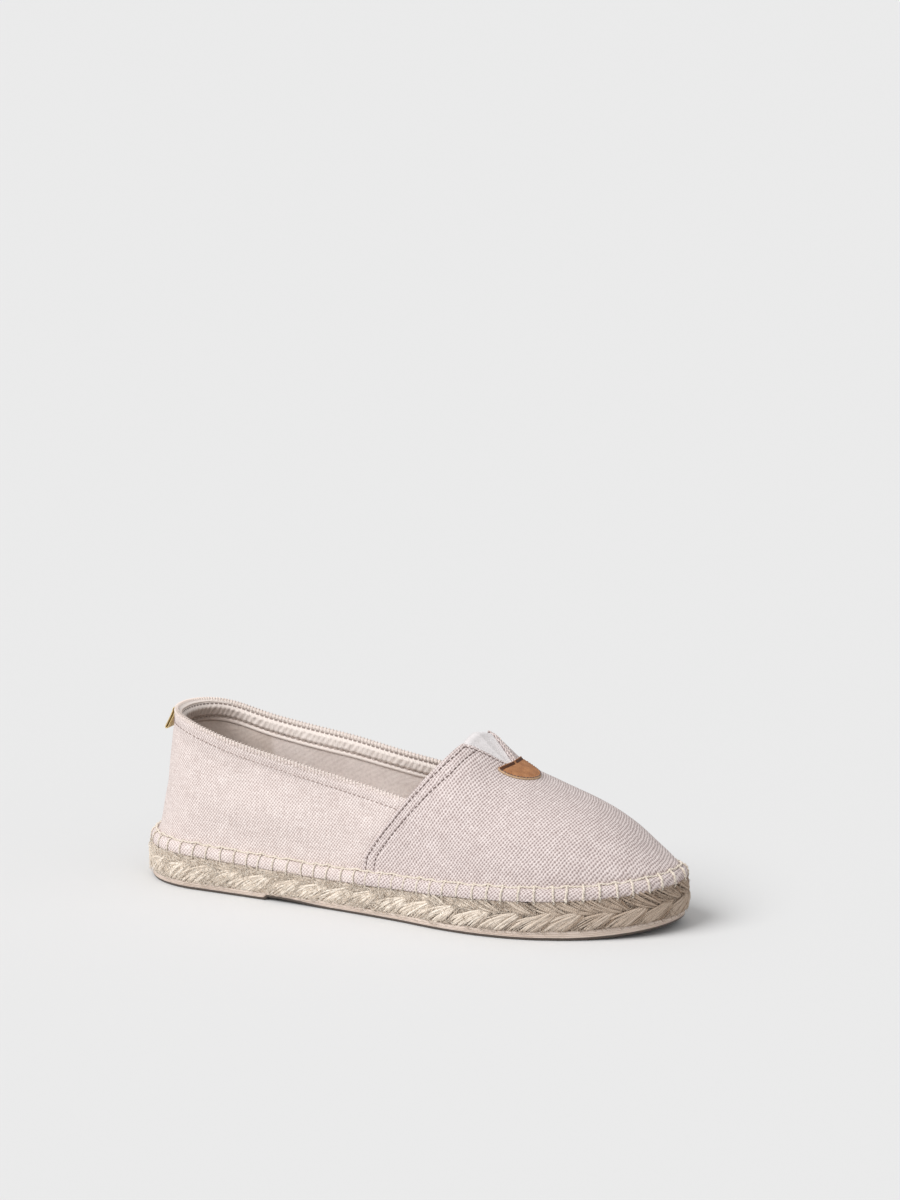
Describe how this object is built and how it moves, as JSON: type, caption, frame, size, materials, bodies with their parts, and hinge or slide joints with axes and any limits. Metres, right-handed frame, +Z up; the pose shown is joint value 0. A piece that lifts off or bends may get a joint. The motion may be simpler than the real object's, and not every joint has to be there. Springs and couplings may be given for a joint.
{
  "type": "espadrille",
  "caption": "Flat slip-on canvas shoe for the right foot on a braided jute sole with a rubber outsole, an elastic gore at the instep and a leather half-moon patch.",
  "frame": {"origin": "middle of the sole's footprint on the floor", "axes": "+X towards the toe, +Y towards the inner side of the foot, +Z up"},
  "size_m": [0.2588, 0.0854, 0.08],
  "materials": {
    "outsole_rubber": "matte cream rubber with fine moulded lines",
    "jute": "natural jute braid with loose fibres",
    "insole_cloth": "plain cotton footbed",
    "canvas": "basket-weave cotton canvas in natural pink-beige",
    "elastic": "ribbed pale grey elastic",
    "patch_leather": "smooth tan leather with a raw cream edge",
    "ribbon": "mustard grosgrain ribbon",
    "twine": "waxed cream cotton twine",
    "seam_thread": "dark and cream sewing thread",
    "binding_tape": "cream cotton binding tape"
  },
  "bodies": {
    "root": {"rubber_outsole": "outsole_rubber", "jute_sole": "jute", "insole": "insole_cloth", "upper": "canvas", "elastic_gore": "elastic", "leather_patch": "patch_leather", "heel_tab": "ribbon"}
  },
  "joints": []
}
